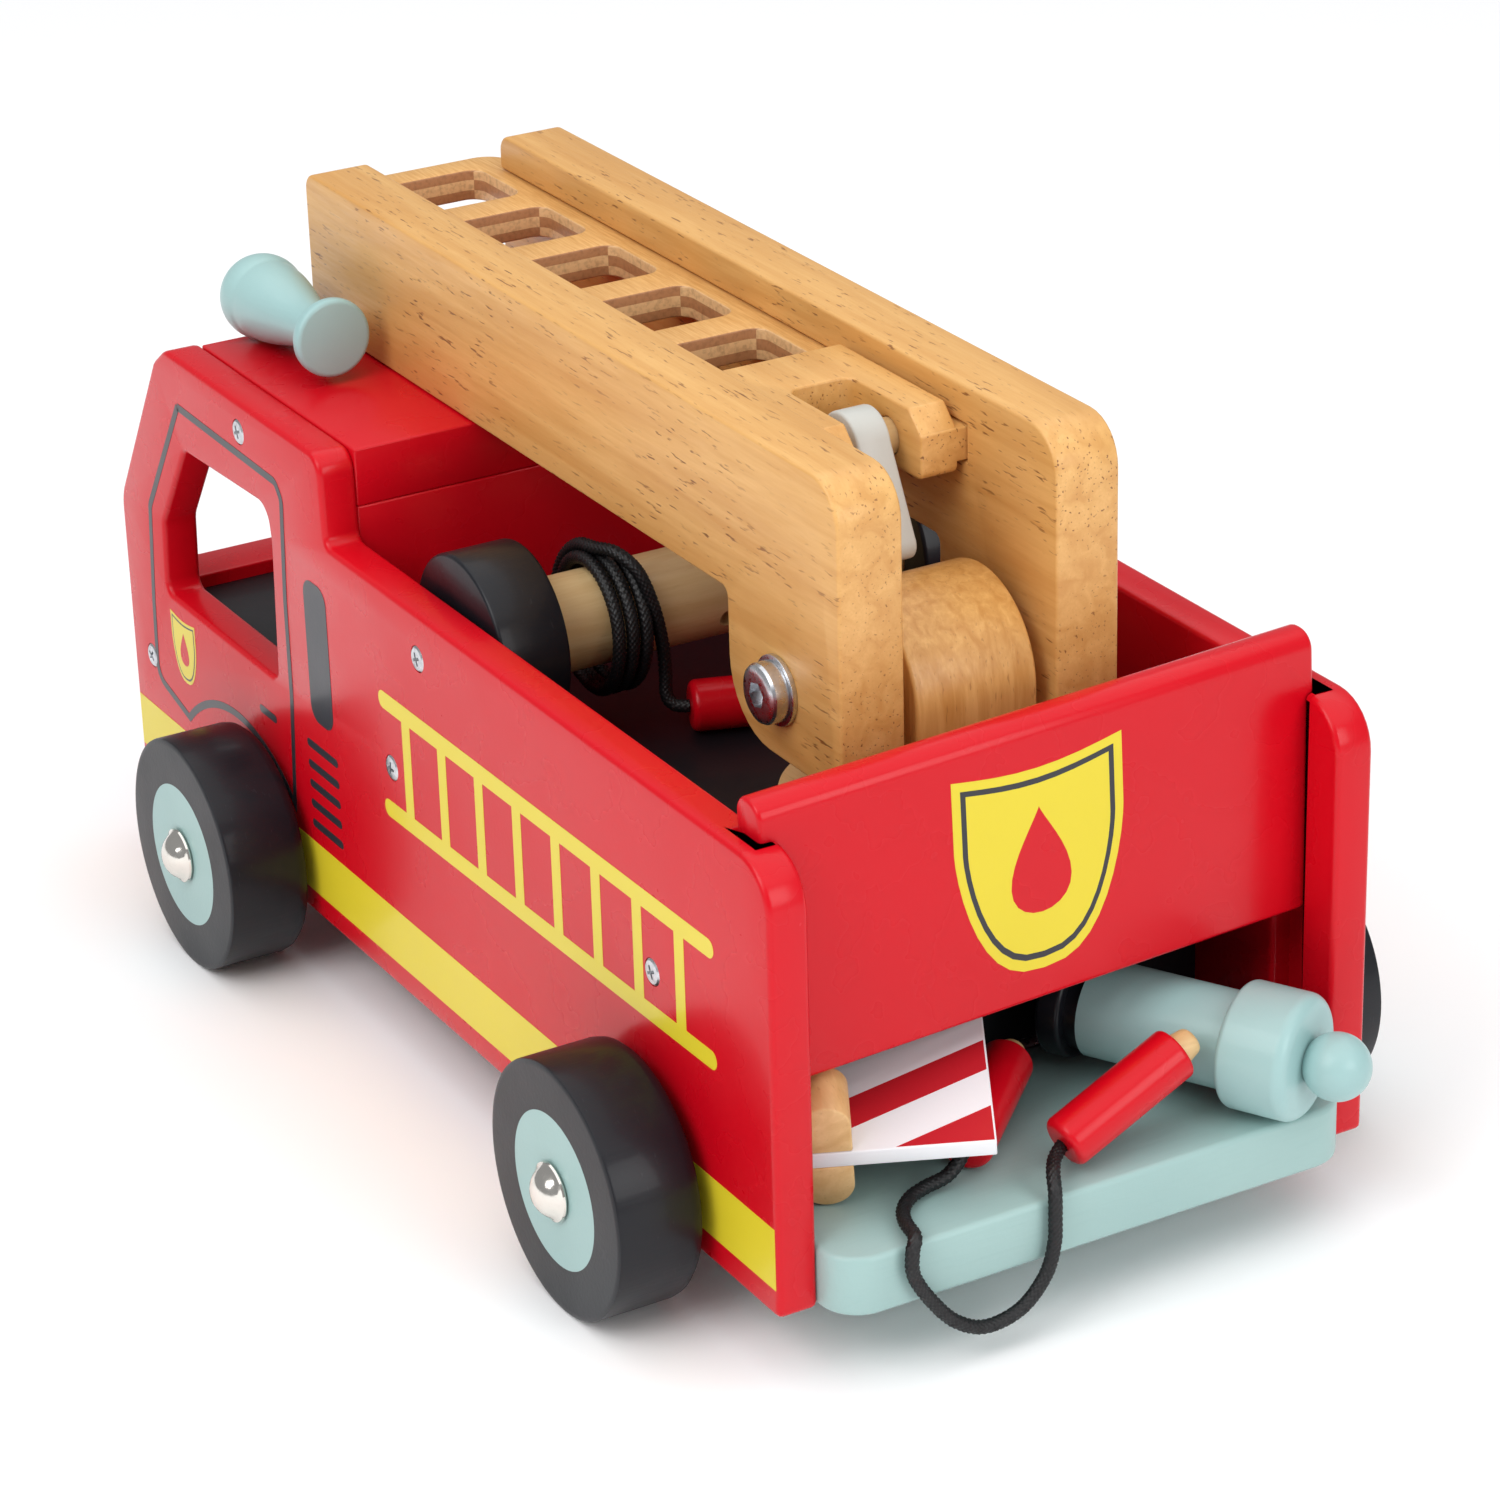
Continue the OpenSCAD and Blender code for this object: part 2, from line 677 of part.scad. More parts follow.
// Hydrant lying on the deck, drawn along its own axis from the ball's centre
module hydrant() {
    color(pale) truck() translate(hydrant_ball) rotate([0, 90, hydrant_turn]) children();
}
collar_from = 6;
barrel_from = 21.7;
base_from = 54.6;
hydrant_end = 63.6;
module hydrant_ball() {
    hydrant() intersection() {
        sphere(r = 7.2);
        translate([0, 0, -10]) cylinder(h = 10 + collar_from, r = 10);
    }
}
module hydrant_collar() {
    hydrant() rotate_extrude() polygon(rounded([
        [0, collar_from, 0], [hydrant_r + 3.1, collar_from, 3], [hydrant_r + 3.1, barrel_from, 1.5],
        [0, barrel_from, 0]
    ]));
}
module hydrant_barrel() {
    hydrant() translate([0, 0, barrel_from]) cylinder(h = base_from - barrel_from, r = hydrant_r);
}
module hydrant_base() {
    waist_l = 3.4;
    hydrant() color(charcoal) rotate_extrude() polygon(rounded([
        [0, base_from, 0], [hydrant_r - 1, base_from, 0], [hydrant_r - 1, base_from + waist_l, 0],
        [hydrant_r + 1.4, base_from + waist_l, 1], [hydrant_r + 1.4, hydrant_end, 1],
        [0, hydrant_end, 0]
    ]));
}

// Road sign: X along the board to the left, Y towards the rear edge, Z out of the striped face
module sign() {
    truck() translate(sign_corner) rotate([sign_tilt, sign_roll, sign_turn]) children();
}
module sign_board() {
    color("white") sign() translate([0, -sign_depth, 0]) cube([sign_l, sign_depth, sign_t]);
}
module sign_foot() {
    depth = 12;
    below = 11.1;
    above = 17;
    round_r = (sign_foot_to - sign_foot_from) / 2 - 0.01;
    color(bare) sign() difference() {
        rotate([90, 0, 0]) linear_extrude(depth)
            polygon(rounded([
                [sign_foot_from, -below, round_r], [sign_foot_to, -below, round_r],
                [sign_foot_to, above, round_r], [sign_foot_from, above, round_r]
            ]));
        translate([-1, -sign_depth - 1, -seat]) cube([sign_l + 2, sign_depth + 2, sign_t + 2 * seat]);
    }
}

left_side_panel();
right_side_panel();
cab_roof();
cab_rear_wall();
front_panel();
cab_floor();
lower_deck();
compartment_wall();
bed_floor();
tailgate();
panel_screws();
reel_pivot_screws();
turntable_disc();
turntable_screw();
pivot_block();
pivot_bolt();
pivot_bolt_nut();
pivot_washers();
ladder_rail_left();
ladder_rail_right();
ladder_spacer_bar();
sliding_ladder();
ladder_tail_block();
catch_dowel();
ladder_catch();
front_left_wheel();
front_right_wheel();
rear_left_wheel();
rear_right_wheel();
front_axle();
rear_axle();
axle_caps();
wheel_washers();
reel_dowel();
reel_disc_left();
reel_disc_right();
reel_cord_coil();
reel_cord();
reel_nozzle();
reel_nozzle_tip();
horn();
horn_peg();
hydrant_barrel();
hydrant_collar();
hydrant_ball();
hydrant_base();
sign_board();
sign_foot();
hose_cord();
hose_nozzle_a();
hose_nozzle_a_tip();
hose_nozzle_b();
hose_nozzle_b_tip();
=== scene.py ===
import json
import math

import bmesh
import bpy
from mathutils import Matrix, Vector

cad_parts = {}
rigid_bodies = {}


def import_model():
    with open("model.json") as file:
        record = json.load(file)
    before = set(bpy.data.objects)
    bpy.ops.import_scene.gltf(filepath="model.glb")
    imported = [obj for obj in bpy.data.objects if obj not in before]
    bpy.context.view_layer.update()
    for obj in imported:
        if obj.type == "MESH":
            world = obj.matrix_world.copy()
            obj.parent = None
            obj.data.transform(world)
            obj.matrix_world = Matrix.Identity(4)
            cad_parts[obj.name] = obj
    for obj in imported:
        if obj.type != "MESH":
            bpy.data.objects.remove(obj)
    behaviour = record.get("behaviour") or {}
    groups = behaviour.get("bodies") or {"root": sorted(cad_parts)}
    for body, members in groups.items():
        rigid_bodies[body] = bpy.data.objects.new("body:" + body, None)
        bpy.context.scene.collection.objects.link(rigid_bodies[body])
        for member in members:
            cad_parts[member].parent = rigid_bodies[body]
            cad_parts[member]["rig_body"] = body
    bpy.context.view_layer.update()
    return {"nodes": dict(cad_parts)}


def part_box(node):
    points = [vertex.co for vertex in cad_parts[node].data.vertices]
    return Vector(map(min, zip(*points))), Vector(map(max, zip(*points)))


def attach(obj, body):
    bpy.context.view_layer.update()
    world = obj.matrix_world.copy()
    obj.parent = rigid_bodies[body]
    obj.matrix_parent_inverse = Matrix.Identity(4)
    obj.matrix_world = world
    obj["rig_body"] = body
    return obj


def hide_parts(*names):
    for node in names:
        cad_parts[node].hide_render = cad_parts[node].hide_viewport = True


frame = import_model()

scene = bpy.context.scene
MM = 0.001
NODES = frame["nodes"]
REAR_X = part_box("left_side_panel")[0].x     # the side panels' rear face
OUTER_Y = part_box("left_side_panel")[1].y    # the side panels' outer face
ROUND_SIDES = 64
WELD_GAP = 0.002
FLAT_ANGLE = math.radians(0.4)
SHARP_ANGLE = math.radians(32)
CLEAR_R = 4.5                               # how near an axis an edge is left as it is


def at(x, y, z):
    """The place of a point in the engine's own millimetres, with x counted from the panels' rear face."""
    return Vector((REAR_X + x * MM, y * MM, z * MM))


def body_of(node):
    return NODES[node]["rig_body"]


# ---------------------------------------------------------------- mesh helpers

def piece(name, bm, materials, body, stands_for=(), smooth=35):
    """Turns mesh data into a finished piece that rides on a body."""
    bmesh.ops.recalc_face_normals(bm, faces=bm.faces)
    mesh = bpy.data.meshes.new(name)
    bm.to_mesh(mesh)
    bm.free()
    for spare in ("custom_normal", "sharp_edge", "sharp_face"):
        if spare in mesh.attributes:
            mesh.attributes.remove(mesh.attributes[spare])
    for material in materials:
        mesh.materials.append(material)
    mesh.shade_smooth()
    mesh.set_sharp_from_angle(angle=math.radians(smooth))
    obj = bpy.data.objects.new(name, mesh)
    scene.collection.objects.link(obj)
    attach(obj, body)
    if stands_for:
        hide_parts(*stands_for)
    return obj


def soften(node, width, material, clear=()):
    """Stands a copy of a CAD node in its place, with its sharp outer edges rounded over.
    Edges near an axis in clear, given as (x, z), keep their shape."""
    bm = bmesh.new()
    bm.from_mesh(NODES[node].data)
    bmesh.ops.remove_doubles(bm, verts=bm.verts, dist=WELD_GAP * MM)
    bmesh.ops.dissolve_limit(bm, angle_limit=FLAT_ANGLE, verts=bm.verts, edges=bm.edges)
    bmesh.ops.recalc_face_normals(bm, faces=bm.faces)
    for face in bm.faces:
        face.material_index = 0
    axes = [at(x, 0, z) for x, z in clear]

    def rounds(edge):
        if len(edge.link_faces) != 2 or edge.calc_face_angle_signed(0) < SHARP_ANGLE:
            return False
        middle = (edge.verts[0].co + edge.verts[1].co) / 2
        return all(math.hypot(middle.x - a.x, middle.z - a.z) > CLEAR_R * MM for a in axes)

    if width:
        bmesh.ops.bevel(bm, geom=[e for e in bm.edges if rounds(e)], offset=width * MM, segments=3,
                        profile=0.5, affect="EDGES", clamp_overlap=False)
    return piece(node + "_finish", bm, [material], body_of(node), [node])


def rounded(points, steps=6):
    """An outline with its corners rounded. Each point is (u, v, radius), and a radius of 0 stays sharp."""
    made = []
    count = len(points)
    for i, (u, v, radius) in enumerate(points):
        here = Vector((u, v))
        if radius == 0:
            made.append(here)
            continue
        before = (Vector(points[i - 1][:2]) - here).normalized()
        after = (Vector(points[(i + 1) % count][:2]) - here).normalized()
        half = before.angle(after) / 2
        centre = here + (before + after).normalized() * radius / math.sin(half)
        first = here + before * radius / math.tan(half) - centre
        last = here + after * radius / math.tan(half) - centre
        turn = first.angle_signed(last)
        for k in range(steps + 1):
            made.append(centre + Matrix.Rotation(-turn * k / steps, 2) @ first)
    return made


def slab(bm, outline, place, thick=0.06, sunk=0.05, slot=0):
    """A thin print on a surface. place is a matrix whose Z stands out of the surface, in metres."""
    rings = [[bm.verts.new(place @ Vector((u * MM, v * MM, height * MM))) for u, v in outline]
             for height in (-sunk, thick)]
    faces = [bm.faces.new(rings[0][::-1]), bm.faces.new(rings[1])]
    count = len(outline)
    for i in range(count):
        k = (i + 1) % count
        faces.append(bm.faces.new((rings[0][i], rings[0][k], rings[1][k], rings[1][i])))
    for face in faces:
        face.material_index = slot


def stroke(points, width):
    """The outline of a line of even width along points."""
    sides = ([], [])
    for i, here in enumerate(points):
        before = (here - points[i - 1]).normalized() if i else None
        after = (points[i + 1] - here).normalized() if i < len(points) - 1 else None
        way = ((before or after) + (after or before)).normalized()
        normal = Vector((-way.y, way.x))
        reach = width / 2 / max(0.5, normal.dot(Vector((-(after or before).y, (after or before).x))))
        sides[0].append(here + normal * reach)
        sides[1].append(here - normal * reach)
    return sides[0] + sides[1][::-1]


def lathe(bm, profile, place, slots=None, sides=ROUND_SIDES):
    """Turns a profile of (radius, along) in millimetres round the Z axis of place."""
    rings = []
    for radius, along in profile:
        if radius == 0:
            rings.append([bm.verts.new(place @ Vector((0, 0, along * MM)))])
            continue
        rings.append([bm.verts.new(place @ Vector((
            radius * MM * math.cos(2 * math.pi * k / sides),
            radius * MM * math.sin(2 * math.pi * k / sides), along * MM))) for k in range(sides)])
    for i in range(len(rings) - 1):
        a, b = rings[i], rings[i + 1]
        for k in range(sides):
            n = (k + 1) % sides
            if len(a) == 1:
                corners = (a[0], b[k], b[n])
            elif len(b) == 1:
                corners = (a[k], b[0], a[n])
            else:
                corners = (a[k], b[k], b[n], a[n])
            face = bm.faces.new(corners)
            face.material_index = slots[i] if slots else 0


def carved(bm, cutter):
    """Mesh data with another's shape cut out of it."""
    made = []
    for data in (bm, cutter):
        bmesh.ops.recalc_face_normals(data, faces=data.faces)
        mesh = bpy.data.meshes.new("carving")
        data.to_mesh(mesh)
        data.free()
        obj = bpy.data.objects.new("carving", mesh)
        scene.collection.objects.link(obj)
        made.append(obj)
    cut = made[0].modifiers.new("cut", "BOOLEAN")
    cut.operation, cut.solver, cut.object = "DIFFERENCE", "EXACT", made[1]
    bpy.context.view_layer.update()
    shape = made[0].evaluated_get(bpy.context.evaluated_depsgraph_get()).to_mesh()
    out = bmesh.new()
    out.from_mesh(shape)
    for obj in made:
        bpy.data.objects.remove(obj)
    return out


def facing(origin, out, across):
    """A matrix at origin with Z along out and X as near as can be to across."""
    z = Vector(out).normalized()
    y = z.cross(Vector(across)).normalized()
    x = y.cross(z)
    return Matrix.Translation(origin) @ Matrix((x, y, z)).transposed().to_4x4()


def prism(bm, outline, place, low, high, taper=1.0):
    """A block with this outline between two heights in millimetres, its low end scaled by taper."""
    rings = [[bm.verts.new(place @ Vector((u * s * MM, v * s * MM, height * MM))) for u, v in outline]
             for height, s in ((low, taper), (high, 1.0))]
    bm.faces.new(rings[0][::-1])
    bm.faces.new(rings[1])
    for i in range(len(outline)):
        k = (i + 1) % len(outline)
        bm.faces.new((rings[0][i], rings[0][k], rings[1][k], rings[1][i]))


# ---------------------------------------------------------------- materials

def linear(red, green, blue):
    """A screen colour of 0 to 255 as the linear colour that a shader takes."""
    def one(value):
        value /= 255
        return value / 12.92 if value <= 0.04045 else ((value + 0.055) / 1.055) ** 2.4
    return (one(red), one(green), one(blue), 1)


def add(tree, kind, links=None, **settings):
    """Adds a shader node. links gives its inputs, as sockets or values."""
    made = tree.nodes.new(kind)
    for key, value in settings.items():
        setattr(made, key, value)
    for key, value in (links or {}).items():
        if isinstance(value, bpy.types.NodeSocket):
            tree.links.new(value, made.inputs[key])
        else:
            made.inputs[key].default_value = value
    return made


def start(name, **sockets):
    """A new material's tree, its shader and its object coordinates."""
    material = bpy.data.materials.new(name)
    material.use_nodes = True
    tree = material.node_tree
    shader = tree.nodes["Principled BSDF"]
    for key, value in sockets.items():
        shader.inputs[key.replace("_", " ")].default_value = value
    return material, tree, shader, add(tree, "ShaderNodeTexCoord").outputs["Object"]


def noise(tree, place, scale, detail=3.0, stretch=(1, 1, 1), distortion=0.0):
    mapped = add(tree, "ShaderNodeMapping", {"Vector": place, "Scale": stretch})
    return add(tree, "ShaderNodeTexNoise", {"Vector": mapped.outputs[0], "Scale": scale,
               "Detail": detail, "Distortion": distortion}).outputs["Fac"]


def ramp(tree, factor, low, high, dark=0.0, bright=1.0):
    """A factor spread from low..high onto dark..bright."""
    return add(tree, "ShaderNodeMapRange", {"Value": factor, "From Min": low, "From Max": high,
               "To Min": dark, "To Max": bright}, clamp=True).outputs[0]


def blend(tree, factor, first, second):
    mix = add(tree, "ShaderNodeMix", data_type="RGBA")
    for index, value in ((0, factor), (6, first), (7, second)):
        if isinstance(value, bpy.types.NodeSocket):
            tree.links.new(value, mix.inputs[index])
        else:
            mix.inputs[index].default_value = value
    return mix.outputs[2]


def bump(tree, height, distance, normal=None):
    """A bump of so many millimetres, on top of another bump if one is given."""
    made = add(tree, "ShaderNodeBump", {"Height": height, "Strength": 1.0, "Distance": distance * MM})
    if normal:
        tree.links.new(normal, made.inputs["Normal"])
    return made.outputs[0]


def math_node(tree, operation, *values):
    made = add(tree, "ShaderNodeMath", operation=operation)
    for index, value in enumerate(values):
        if isinstance(value, bpy.types.NodeSocket):
            tree.links.new(value, made.inputs[index])
        else:
            made.inputs[index].default_value = value
    return made.outputs[0]


def paint(name, colour, deep, roughness=0.3, coat=0.3, grain=0.25, along=(1, 12, 12), scuffs=0.0,
          scuff_colour=(0.8, 0.8, 0.8, 1)):
    """Glossy paint over wood: slow changes of depth, fine ripple, faint grain and light scuffs."""
    material, tree, shader, place = start(name, Coat_Weight=coat, Coat_Roughness=0.12,
                                          Specular_IOR_Level=0.24)
    cloud = noise(tree, place, 14, 2)
    fibre = noise(tree, place, 90, 4, along)
    base = blend(tree, ramp(tree, cloud, 0.2, 0.8), deep, colour)
    base = blend(tree, ramp(tree, fibre, 0.55, 0.85, 0.0, grain * 0.3), base, deep)
    if scuffs:
        marks = ramp(tree, noise(tree, place, 260, 5, (1, 3.5, 1), 1.5), 0.66, 0.74, 0.0, scuffs)
        base = blend(tree, marks, base, scuff_colour)
    tree.links.new(base, shader.inputs["Base Color"])
    patchy = ramp(tree, noise(tree, place, 60, 3), 0.3, 0.7, roughness - 0.03, roughness + 0.05)
    tree.links.new(patchy, shader.inputs["Roughness"])
    ripple = bump(tree, noise(tree, place, 900, 1), 0.012)
    grained = bump(tree, fibre, 0.035 * grain, ripple)
    tree.links.new(grained, shader.inputs["Normal"])
    return material


def wood(name, light, dark, pore, along, pores=1.0, roughness=0.42, figure=1.0):
    """Lacquered wood. along stretches the pattern: 1 along the grain and more across it."""
    material, tree, shader, place = start(name, Coat_Weight=0.12, Coat_Roughness=0.25)
    bands = noise(tree, place, 16 * figure, 5, along, 0.6)
    fibre = noise(tree, place, 120, 6, along)
    base = blend(tree, ramp(tree, bands, 0.32, 0.68), light, dark)
    base = blend(tree, ramp(tree, fibre, 0.35, 0.75, 0.0, 0.35), base, dark)
    short = tuple(1 if s == 1 else 7 for s in along)
    dashes = noise(tree, place, 210, 1.5, short)
    patches = ramp(tree, noise(tree, place, 40, 2), 0.36, 0.6, 0.15, 1.0)
    marks = math_node(tree, "MULTIPLY", ramp(tree, dashes, 0.645, 0.72, 0.0, 0.85 * pores), patches)
    base = blend(tree, marks, base, pore)
    tree.links.new(base, shader.inputs["Base Color"])
    tree.links.new(ramp(tree, fibre, 0.3, 0.7, roughness - 0.05, roughness + 0.1),
                   shader.inputs["Roughness"])
    sunk = math_node(tree, "SUBTRACT", math_node(tree, "MULTIPLY", fibre, 0.4), marks)
    tree.links.new(bump(tree, sunk, 0.07), shader.inputs["Normal"])
    return material


def plywood(name, node, light, dark, along):
    """The sliding ladder's board: one sort of grain on its faces, and three plies on its cut edges."""
    material, tree, shader, place = start(name, Coat_Weight=0.1, Coat_Roughness=0.3)
    low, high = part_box(node)
    split = add(tree, "ShaderNodeSeparateXYZ", {"Vector": place})
    normal = add(tree, "ShaderNodeSeparateXYZ",
                 {"Vector": add(tree, "ShaderNodeTexCoord").outputs["Normal"]})
    share = ramp(tree, split.outputs["Z"], low.z, high.z)
    middle = math_node(tree, "LESS_THAN", math_node(tree, "ABSOLUTE", math_node(
        tree, "SUBTRACT", share, 0.5)), 0.17)
    sideways = math_node(tree, "GREATER_THAN", math_node(tree, "ABSOLUTE", normal.outputs["Y"]), 0.6)
    core = math_node(tree, "ABSOLUTE", math_node(tree, "SUBTRACT", middle, sideways))
    fibre = noise(tree, place, 140, 5, along)
    speck = noise(tree, place, 900, 3)
    face = blend(tree, ramp(tree, fibre, 0.35, 0.7), light, dark)
    edge = blend(tree, core, linear(178, 126, 84), linear(226, 184, 132))
    edge = blend(tree, ramp(tree, speck, 0.45, 0.8, 0.0, 0.5), edge, linear(120, 78, 48))
    flat = math_node(tree, "GREATER_THAN", math_node(tree, "ABSOLUTE", normal.outputs["Z"]), 0.7)
    tree.links.new(blend(tree, flat, edge, face), shader.inputs["Base Color"])
    tree.links.new(ramp(tree, fibre, 0.3, 0.7, 0.4, 0.55), shader.inputs["Roughness"])
    tree.links.new(bump(tree, fibre, 0.05), shader.inputs["Normal"])
    return material


def metal(name, colour, roughness, wear=0.15):
    material, tree, shader, place = start(name, Metallic=1.0)
    cloud = noise(tree, place, 700, 4)
    base = blend(tree, ramp(tree, cloud, 0.4, 0.75, 0.0, wear), colour, linear(90, 84, 78))
    tree.links.new(base, shader.inputs["Base Color"])
    tree.links.new(ramp(tree, cloud, 0.3, 0.7, roughness, roughness + 0.14), shader.inputs["Roughness"])
    tree.links.new(bump(tree, noise(tree, place, 1600, 3), 0.01), shader.inputs["Normal"])
    return material


def thread(name):
    """Braided black cord, whose strands are in the mesh: fine fibres and a faint gloss."""
    material, tree, shader, place = start(name, Specular_IOR_Level=0.5)
    fibre = noise(tree, place, 2600, 3)
    tree.links.new(blend(tree, ramp(tree, fibre, 0.3, 0.75), linear(4, 4, 5), linear(18, 18, 21)),
                   shader.inputs["Base Color"])
    tree.links.new(ramp(tree, fibre, 0.3, 0.7, 0.4, 0.6), shader.inputs["Roughness"])
    tree.links.new(bump(tree, fibre, 0.03), shader.inputs["Normal"])
    return material


ALONG_X, ALONG_Y, ALONG_Z = (1, 14, 14), (14, 1, 14), (14, 14, 1)
RED, DEEP_RED = linear(206, 8, 28), linear(196, 5, 22)
red = paint("red_gloss", RED, DEEP_RED, 0.27, 0.08, 0.08, ALONG_X)
red_across = paint("red_gloss_across", RED, DEEP_RED, 0.27, 0.08, 0.08, ALONG_Y)
black = paint("black_satin", linear(26, 27, 33), linear(20, 21, 26), 0.36, 0.1, 0.8, ALONG_Y, 0.1,
              linear(96, 98, 104))
dark = paint("black_inside", linear(24, 22, 26), linear(18, 16, 20), 0.45, 0.1, 0.6, ALONG_X)
pale = paint("pale_satin", linear(160, 194, 192), linear(150, 184, 184), 0.36, 0.2, 0.9, ALONG_X)
pale_across = paint("pale_satin_across", linear(162, 192, 188), linear(148, 180, 178), 0.38, 0.2, 1.4,
                    ALONG_Y)
grey = paint("grey_satin", linear(196, 196, 190), linear(182, 182, 176), 0.4, 0.15, 0.6, ALONG_X)
white = paint("white_satin", linear(238, 238, 240), linear(228, 229, 233), 0.42, 0.1, 0.5, ALONG_X)
yellow = paint("yellow_print", linear(226, 206, 48), linear(216, 196, 42), 0.32, 0.3, 0.3, ALONG_X)
charcoal = paint("charcoal_print", linear(50, 50, 56), linear(40, 40, 46), 0.34, 0.3, 0.3, ALONG_X)
stripe_red = paint("stripe_red", linear(196, 32, 44), linear(182, 26, 38), 0.42, 0.1, 0.5, ALONG_X)
honey = wood("honey_wood", linear(226, 176, 106), linear(206, 150, 80), linear(124, 72, 30), ALONG_X)
honey_turned = wood("honey_wood_turned", linear(222, 172, 102), linear(196, 140, 70), linear(120, 70, 30),
                    ALONG_Z, 0.5, figure=1.8)
bare_x = wood("light_wood", linear(228, 188, 132), linear(208, 162, 104), linear(150, 100, 56), ALONG_X, 0.3)
bare_y = wood("light_wood_across", linear(226, 196, 144), linear(204, 166, 112), linear(140, 96, 58),
              ALONG_Y, 0.25)
ply = plywood("ladder_plywood", "sliding_ladder", linear(222, 172, 104), linear(200, 146, 78), ALONG_X)
nickel = metal("nickel", linear(226, 222, 214), 0.07, 0.05)
zinc = metal("zinc", linear(206, 208, 212), 0.22, 0.25)
cord_black = thread("cord_black")

# ---------------------------------------------------------------- camera, light and floor

CAMERA_PLACE = Vector((-0.84182, 0.46722, 0.51044))
CAMERA_X = Vector((-0.50145, -0.86480, -0.02600))
CAMERA_Y = Vector((0.3510, -0.2308, 0.9075))
CAMERA_LENS = 114.03
camera_data = bpy.data.cameras.new("camera")
camera_data.lens, camera_data.sensor_width, camera_data.sensor_fit = CAMERA_LENS, 36, "HORIZONTAL"
camera_data.clip_start, camera_data.clip_end = 0.05, 50
camera = bpy.data.objects.new("camera", camera_data)
camera_x = CAMERA_X.normalized()
camera_z = camera_x.cross(CAMERA_Y).normalized()
camera_y = camera_z.cross(camera_x)
camera.matrix_world = (Matrix.Translation(CAMERA_PLACE)
                       @ Matrix((camera_x, camera_y, camera_z)).transposed().to_4x4())
scene.collection.objects.link(camera)
scene.camera = camera
scene.view_settings.view_transform = "Standard"


def softbox(name, place, aim, size, power):
    """A square light of this size in metres and power in watts."""
    data = bpy.data.lights.new(name, "AREA")
    data.shape, data.size, data.size_y, data.energy = "RECTANGLE", size, size, power
    lamp = bpy.data.objects.new(name, data)
    lamp.location = place
    lamp.rotation_mode = "QUATERNION"
    lamp.rotation_quaternion = (Vector(aim) - Vector(place)).to_track_quat("-Z", "Y")
    scene.collection.objects.link(lamp)


softbox("key", (-0.35, 1.1, 1.0), (0, 0, 0.06), 0.9, 9)
softbox("top", (0, 0, 2.4), (0, 0, 0), 4.5, 75)
softbox("rear", (-1.3, -0.3, 0.6), (0, 0, 0.06), 0.7, 6)
scene.world = bpy.data.worlds.new("studio")
scene.world.use_nodes = True
background = scene.world.node_tree.nodes["Background"]
background.inputs["Color"].default_value = (0.97, 0.98, 1.0, 1)
background.inputs["Strength"].default_value = 0.36

FLOOR_HALF = 6
floor_material, floor_tree, floor_shader, floor_place = start("floor", Roughness=0.7)
floor_tree.links.new(blend(floor_tree, noise(floor_tree, floor_place, 3), linear(251, 251, 252),
                           linear(253, 253, 253)), floor_shader.inputs["Base Color"])
floor_mesh = bpy.data.meshes.new("floor")
floor_mesh.from_pydata([(-FLOOR_HALF, -FLOOR_HALF, 0), (FLOOR_HALF, -FLOOR_HALF, 0),
                        (FLOOR_HALF, FLOOR_HALF, 0), (-FLOOR_HALF, FLOOR_HALF, 0)], [], [(0, 1, 2, 3)])
floor_mesh.materials.append(floor_material)
floor = bpy.data.objects.new("floor", floor_mesh)
scene.collection.objects.link(floor)

# ---------------------------------------------------------------- cords

CORD_R = 1.5
CORD_SIDES = 40
STRANDS = 8
STRAND_PITCH = 2.6
RING_GAP = 0.28
GROOVE_R, STRAND_RISE = 0.8, 0.24           # shares of the radius: between strands, and their rise above it


def smooth_route(route, steps=8):
    """Points along a smooth curve through a route."""
    points = [Vector(p) for p in route]
    last = len(points) - 1
    made = []
    for i in range(last):
        a, b, c, d = points[max(i - 1, 0)], points[i], points[i + 1], points[min(i + 2, last)]
        for k in range(steps):
            t = k / steps
            made.append(0.5 * (2 * b + (c - a) * t + (2 * a - 5 * b + 4 * c - d) * t * t
                               + (3 * b - a - 3 * c + d) * t * t * t))
    return made + [points[-1]]


def evenly(points, gap):
    """The same line with its points about gap apart, and its length."""
    lengths = [0.0]
    for a, b in zip(points, points[1:]):
        lengths.append(lengths[-1] + (b - a).length)
    count = max(2, round(lengths[-1] / gap))
    made, k = [], 0
    for i in range(count + 1):
        want = lengths[-1] * i / count
        while k < len(points) - 2 and lengths[k + 1] < want:
            k += 1
        share = (want - lengths[k]) / max(1e-9, lengths[k + 1] - lengths[k])
        made.append(points[k].lerp(points[k + 1], min(1, share)))
    return made, lengths[-1]


